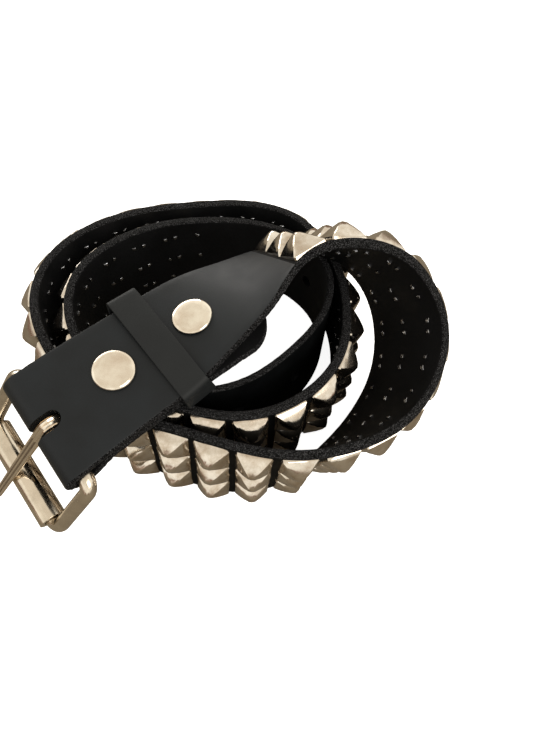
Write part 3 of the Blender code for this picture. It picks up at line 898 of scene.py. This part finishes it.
class BELT_OT_prongs(bpy.types.Operator):
    """Models one bent prong and sets copies of it on the strap's back"""
    bl_idname = "belt.prongs"
    bl_label = "Clinch the prongs"

    def execute(self, context):
        begin()
        bpy.ops.mesh.primitive_cube_add(size=1)
        prong = named("prong")
        prong.scale = prong_size
        edit(settle(prong))
        pick(prong, "faces", lambda face: face.normal.y > 0.9)
        for reach, rise, narrower in ((0.0007, 0.0003, 0.75), (0.0005, 0.0004, 0.45)):
            push(0, reach, rise)
            bpy.ops.transform.resize(value=(narrower, 1, 0.6))
        bpy.ops.mesh.select_all(action="SELECT")
        bpy.ops.mesh.bevel(offset=0.00012, segments=1, affect="EDGES", clamp_overlap=True)
        leave()
        chance = np.random.default_rng(5)
        seats = []
        for column in range(stud_count):
            for row in (-1, 0, 1):
                for end, about in ((-1, 0), (1, math.pi)):
                    run = plain_run + (column + 0.5) * stud_pitch + end * prong_reach
                    side = row * row_apart + row_shift + chance.normal(0, 0.00025)
                    turn = Matrix.Rotation(chance.normal(0, 0.22) + about, 4, "Z")
                    deep = float(thinned(run)) - half_thick - 0.0001
                    seats.append(seat(run, side) @ Matrix.Translation((0, 0, deep)) @ turn)
        prongs = copies(prong, "stud_prongs", seats)
        dress(prongs, metal_material("prong_nickel", (0.44, 0.45, 0.48), (0.13, 0.13, 0.14),
                                     (0.14, 0.30), 0.00005))
        finish_piece(prongs, 30, "strap", "snap_nickel")
        return {"FINISHED"}


# Snaps and keeper


class BELT_OT_snaps(bpy.types.Operator):
    """Turns the two domed snaps and presses them through both layers"""
    bl_idname = "belt.snaps"
    bl_label = "Press the snaps"

    def execute(self, context):
        metal = metal_material("snap_nickel_polish", (0.92, 0.86, 0.75), (0.69, 0.59, 0.48),
                               (0.07, 0.16), 0.00045, 90.0)
        face = half_thick + piece_gap
        under = -half_thick - layer_gap - strap_thick - piece_gap
        cap, post, back = snap_cap / 2, snap_post / 2, snap_back / 2
        # Heights over each face of the leather, and shares of the cap's or back's radius
        rows = [(under + up, share * back) for up, share in (
            (-0.0008, 0.62), (-0.0006, 0.90), (-0.0003, 1), (0, 0.985))]
        rows += [(under + 0.0001, post), (face - 0.0001, post)]
        rows += [(face + up, share * cap) for up, share in (
            (0, 0.93), (0.0001, 0.985), (0.0003, 1), (0.0006, 0.985), (0.0009, 0.93),
            (0.0012, 0.80), (0.0014, 0.60), (0.00155, 0.36), (0.0016, 0.12))]
        for number, run in enumerate(snap_at):
            snap = raised(f"snap_cap_{number + 1}", rows, 48)
            place_piece(snap, seat(run, snap_side[number]))
            dress(snap, metal)
            finish_piece(snap, 45, "strap", "snap_nickel", f"snap_{number + 1}")
        return {"FINISHED"}


class BELT_OT_keeper(bpy.types.Operator):
    """Bends the keeper loop around both layers of the strap"""
    bl_idname = "belt.keeper"
    bl_label = "Bend the keeper"

    def execute(self, context):
        middle, corner = keeper_thick / 2, keeper_corner
        low, high = -half_width - keeper_loose - middle, half_width + snug + middle
        bottom, top = -half_thick - apart - snug - middle, half_thick + snug + middle
        corners = []
        for x, y, start in ((high - corner, top - corner, 0), (low + corner, top - corner, 90),
                            (low + corner, bottom + corner, 180),
                            (high - corner, bottom + corner, 270)):
            for turn in range(0, 91, 15):
                angle = math.radians(start + turn)
                corners.append((x + corner * math.cos(angle), y + corner * math.sin(angle),
                                math.cos(angle), math.sin(angle)))
        path = []
        for spot, after in zip(corners, corners[1:] + corners[:1]):
            gap = math.hypot(after[0] - spot[0], after[1] - spot[1])
            count = max(1, round(gap / keeper_step))
            for k in range(count):
                path.append([a + (b - a) * (k / count) for a, b in zip(spot, after)])
        path = np.array(path)
        section = rounded_section(keeper_long / 2, middle, keeper_soft, (60, 30), (8, 8))
        keeper, a, b = wrapped_grid("keeper_band", len(section), len(path))
        b = b % len(path)
        side = path[b, 0] + path[b, 2] * section[a, 1]
        height = path[b, 1] + path[b, 3] * section[a, 1]
        put_points(keeper, np.stack([side, keeper_at + section[a, 0], height], -1))
        lay_piece(tidy_mesh(keeper))
        dress(keeper, leather_material(
            "keeper_leather", (0.0106, 0.0124, 0.0142), (0.0134, 0.0156, 0.0172),
            2600, 0.00003, (0.46, 0.60), 0.24))
        finish_piece(keeper, 40, "strap", "keeper_leather", "keeper_loop")
        return {"FINISHED"}


# Buckle


def buckle_matrix(ahead, up, place):
    """Matrix of a piece of the buckle: X across the belt, Y ahead, Z up."""
    matrix = np.eye(4)
    matrix[:3] = np.column_stack([FOLD_W, ahead, up, place])
    return matrix


class BELT_OT_frame(bpy.types.Operator):
    """Bends the buckle's ring of wire, side by side and corner by corner"""
    bl_idname = "belt.buckle_frame"
    bl_label = "Bend the buckle"

    def execute(self, context):
        begin()
        bpy.ops.mesh.primitive_circle_add(vertices=24, radius=bar_radius,
                                          location=(arm_at, frame_corner, 0),
                                          rotation=(math.radians(90), 0, 0))
        ring = settle(named("buckle_ring"))
        edit(ring)
        inner, reach = arm_at - frame_corner, frame_reach - frame_corner
        far = inner - arm_nearer
        turns = (((0, reach - frame_corner, 0), (inner, reach, 0)),
                 ((-far - inner, 0, 0), (-far, reach, 0)),
                 ((0, frame_corner - reach, 0), (-far, frame_corner, 0)),
                 ((far + inner, 0, 0), (inner, frame_corner, 0)))
        for move, centre in turns:
            for part in range(6):
                push(*(share / 6 for share in move))
            bpy.ops.mesh.spin(steps=8, angle=math.radians(-90), center=centre, axis=(0, 0, 1))
        leave()
        tidy_mesh(ring, 1e-5)
        place_piece(ring, buckle_matrix(OUTWARD, np.cross(FOLD_W, OUTWARD), BAR))
        dress(ring, metal_material("buckle_nickel", (0.78, 0.71, 0.60), (0.60, 0.53, 0.44),
                                   (0.12, 0.28), 0.00015))
        finish_piece(ring, 60, "frame", "buckle_nickel", "buckle_frame")
        return {"FINISHED"}


class BELT_OT_roller(bpy.types.Operator):
    """Rolls the tube that turns on the buckle's far bar"""
    bl_idname = "belt.roller"
    bl_label = "Roll the roller"

    def execute(self, context):
        half = arm_at - frame_corner - piece_gap + roller_longer
        begin()
        bpy.ops.mesh.primitive_cylinder_add(vertices=72, radius=roller_radius, depth=2 * half,
                                            end_fill_type="NOTHING",
                                            rotation=(0, math.radians(90), 0))
        tube = settle(named("roller_tube"))
        spots = points_of(tube)
        turn = np.degrees(np.arctan2(spots[:, 1], spots[:, 2]))
        spots[np.abs(turn - seam_turn) < seam_half, 1:] *= 1 - seam_deep / roller_radius
        put_points(tube, spots)
        apply_modifier(tube, "SOLIDIFY", thickness=roller_radius - bar_radius - piece_gap,
                       offset=-1)
        edit(tube)
        pick(tube, "edges", lambda edge: edge.calc_face_angle(0) > math.radians(60))
        bpy.ops.mesh.bevel(offset=0.0004, segments=3, affect="EDGES", clamp_overlap=True)
        leave()
        place_piece(tube, buckle_matrix(OUTWARD, np.cross(FOLD_W, OUTWARD), ROLL))
        dress(tube, metal_material("roller_nickel", (0.80, 0.72, 0.60), (0.62, 0.55, 0.45),
                                   (0.10, 0.24), 0.00015))
        finish_piece(tube, 50, "roller", "buckle_nickel", "roller")
        return {"FINISHED"}


class BELT_OT_tongue(bpy.types.Operator):
    """Bends the ridged tongue round the buckle's near bar"""
    bl_idname = "belt.tongue"
    bl_label = "Bend the tongue"

    def execute(self, context):
        loop = bar_radius + piece_gap + tongue_thick / 2
        rest = roller_radius + piece_gap + tongue_thick / 2
        spread = math.asin((rest - loop) / frame_reach)
        stem_angle = frame_drop - spread
        stem = -FOLD_D * math.cos(stem_angle) - FOLD_N * math.sin(stem_angle)
        stem_long = frame_reach * math.cos(spread) + tongue_beyond
        wide, thick = tongue_wide / 2, tongue_thick / 2
        # The tongue lies with X across, Y along the stem and Z up, the bar at the origin
        path = []
        for k in range(49):
            turn = math.radians(262 - 262 * k / 48)
            path.append((-math.sin(turn) * loop, math.cos(turn) * loop,
                         math.sin(-turn), math.cos(turn)))
        for share in np.linspace(0.04, 1.0, 25):
            path.append((stem_long * share, loop, 0.0, 1.0))
        outline = []
        for k in range(40):
            turn = 2 * math.pi * k / 40
            x, z = math.cos(turn), math.sin(turn)
            x = math.copysign(abs(x) ** 0.9, x)
            ridge = 0.24 * (math.cos(x * math.pi * 3) - 1) if z > 0.3 else 0.0
            outline.append((x * wide, (z + ridge) * thick))
        path, outline = np.array(path), np.array(outline)
        tongue, a, b = wrapped_grid("tongue_pin", len(outline), len(path) - 1)
        share = np.clip((b - 49) / 24, 0, 1)
        narrow = 1 - stem_taper * share - 0.35 * np.clip((share - 0.9) / 0.1, 0, 1) ** 2
        along = path[b, 0] + path[b, 2] * outline[a, 1] * narrow
        up = path[b, 1] + path[b, 3] * outline[a, 1] * narrow
        put_points(tongue, np.stack([outline[a, 0] * narrow, along, up], -1))
        close_ends(tongue)
        dress(tongue,
              metal_material("tongue_nickel", (0.92, 0.83, 0.71), (0.74, 0.66, 0.55),
                             (0.12, 0.26), 0.0001),
              metal_material("tongue_groove", (0.46, 0.39, 0.32), (0.34, 0.28, 0.23),
                             (0.20, 0.36), 0.0001))
        # Faces in the two grooves along the top of the stem take the darker second nickel: painted
        # shade in the grooves
        for face in tongue.data.polygons:
            x, y, z = face.center
            side = abs(x) / wide / (1 - stem_taper * min(max(y / stem_long, 0), 1))
            groove = y > groove_from and z > loop and abs(side - groove_at) < groove_half
            face.material_index = 1 if groove else 0
        place_piece(tongue, buckle_matrix(stem, np.cross(stem, FOLD_W), BAR))
        tidy_mesh(tongue)
        finish_piece(tongue, 40, "tongue", "buckle_nickel", "tongue")
        return {"FINISHED"}


# Stage


def camera_ray(tree, hidden, seen):
    """One surface for what the camera sees, another for all other light."""
    ray = put(tree, "ShaderNodeLightPath").outputs["Is Camera Ray"]
    return put(tree, "ShaderNodeMixShader",
               {0: ray, 1: hidden.outputs[0], 2: seen.outputs[0]}).outputs[0]


def floor_material(values):
    material, tree, shader, place = new_material("floor_paper")
    feed(tree, shader, {
        "Base Color": ramp(tree, noise(tree, place, 14.0), [(0.3, 0.88), (0.7, 0.90)]),
        "Roughness": 0.9, "Emission Color": (1, 1, 1, 1), "Emission Strength": values.glow})
    warm = put(tree, "ShaderNodeBsdfDiffuse", {"Color": (*values.bounce, 1)})
    feed(tree, tree.nodes["Material Output"], {"Surface": camera_ray(tree, warm, shader)})
    return material


def light_room(world, strength):
    """A pale room, dark towards its foot, that the camera sees as plain white."""
    world.use_nodes = True
    tree = world.node_tree
    tree.nodes.clear()
    spot = tree.nodes.new("ShaderNodeTexCoord").outputs["Generated"]
    height = put(tree, "ShaderNodeSeparateXYZ", {0: spot}).outputs["Z"]
    swing = put(tree, "ShaderNodeMath", {0: noise(tree, spot, 3.2, 1.0), 1: 0.9, 2: -0.45},
                operation="MULTIPLY_ADD").outputs[0]
    level = put(tree, "ShaderNodeMath", {0: height, 1: swing}, operation="ADD").outputs[0]
    room = ramp(tree, level, [
        (0.0, (0.22, 0.13, 0.09)), (0.05, (0.34, 0.22, 0.16)), (0.14, (1.0, 0.95, 0.84)),
        (0.50, (1.15, 1.09, 0.97)), (0.72, (0.92, 0.86, 0.74)), (1.0, (0.86, 0.78, 0.66))])
    glow = put(tree, "ShaderNodeBackground", {"Color": room, "Strength": strength})
    white = put(tree, "ShaderNodeBackground", {"Color": (1, 1, 1, 1)})
    put(tree, "ShaderNodeOutputWorld", {"Surface": camera_ray(tree, glow, white)})


def area_light(name, place, aim, size, power, tint):
    data = bpy.data.lights.new(name, "AREA")
    data.shape = "RECTANGLE"
    data.size, data.size_y = size
    data.energy = power
    data.color = tint
    light = bpy.data.objects.new(name, data)
    bpy.context.collection.objects.link(light)
    light.location = place
    light.rotation_euler = (Vector(aim) - Vector(place)).to_track_quat("-Z", "Y").to_euler()


def photo_camera(lens):
    """A camera at the photograph's place, tipped down and rolled a little."""
    down, roll = 1.06776, 0.042188
    place = Vector(PLACED) + Vector((0, -0.1021, 0.1856))
    data = bpy.data.cameras.new("photo_camera")
    data.lens = lens
    data.sensor_width = 36.0
    data.clip_start = 0.005
    camera = bpy.data.objects.new("photo_camera", data)
    bpy.context.collection.objects.link(camera)
    ahead = Vector((0, math.cos(down), -math.sin(down)))
    tip = Vector((0, math.sin(down), math.cos(down)))
    level = Vector((1, 0, 0))
    right = level * math.cos(roll) + tip * math.sin(roll)
    up = tip * math.cos(roll) - level * math.sin(roll)
    matrix = Matrix((right, up, -ahead)).transposed().to_4x4()
    matrix.translation = place
    camera.matrix_world = matrix
    return camera


class BELT_OT_stage(bpy.types.Operator):
    """Sets the pale floor, the soft lights, the room and the camera"""
    bl_idname = "belt.stage"
    bl_label = "Set the stage"

    def execute(self, context):
        values = context.scene.belt_stage
        begin()
        bpy.ops.mesh.primitive_circle_add(vertices=96, radius=values.floor / 2, fill_type="NGON",
                                          location=(0, 0, -0.0002))
        floor = settle(named("pale_floor"))
        dress(floor, floor_material(values))
        scene = context.scene
        scene.world = scene.world or bpy.data.worlds.new("room")
        light_room(scene.world, values.room)
        area_light("key_softbox", (-0.44, 0.68, 0.19), (0.0, 0.0, 0.03), (0.80, 0.24),
                   values.key, (1.0, 0.98, 0.96))
        area_light("fill_softbox", (0.40, -0.35, 0.50), (0.0, 0.0, 0.02), (0.40, 0.40),
                   values.key * 0.8, (1.0, 0.96, 0.90))
        scene.view_settings.view_transform = "Standard"
        scene.camera = photo_camera(values.lens)
        return {"FINISHED"}


class BELT_PT_maker(bpy.types.Panel):
    """Lists the belt's pieces and the values that shape them"""
    bl_idname = "BELT_PT_maker"
    bl_label = "Studded belt"
    bl_space_type = "VIEW_3D"
    bl_region_type = "UI"
    bl_category = "Belt"

    def draw(self, context):
        layout = self.layout
        for setting, group in SETTINGS.items():
            box = layout.box()
            box.label(text=setting.replace("_", " ").capitalize())
            for name in group.__annotations__:
                box.prop(getattr(context.scene, setting), name)
        for operator in OPERATORS:
            layout.operator(operator.bl_idname)


SETTINGS = {"belt_leather": BeltLeather, "belt_studs": BeltStuds, "belt_stage": BeltStage}
OPERATORS = (BELT_OT_strap, BELT_OT_studs, BELT_OT_prongs, BELT_OT_snaps, BELT_OT_keeper,
             BELT_OT_frame, BELT_OT_roller, BELT_OT_tongue, BELT_OT_stage)
CLASSES = (*SETTINGS.values(), *OPERATORS, BELT_PT_maker)


def register():
    for cls in CLASSES:
        bpy.utils.register_class(cls)
    for setting, group in SETTINGS.items():
        setattr(bpy.types.Scene, setting, PointerProperty(type=group))


def unregister():
    for setting in SETTINGS:
        delattr(bpy.types.Scene, setting)
    for cls in reversed(CLASSES):
        bpy.utils.unregister_class(cls)


def main():
    register()
    bpy.ops.belt.strap()
    bpy.ops.belt.studs()
    bpy.ops.belt.prongs()
    bpy.ops.belt.snaps()
    bpy.ops.belt.keeper()
    bpy.ops.belt.buckle_frame()
    bpy.ops.belt.roller()
    bpy.ops.belt.tongue()
    bpy.ops.belt.stage()


if __name__ == "__main__":
    main()
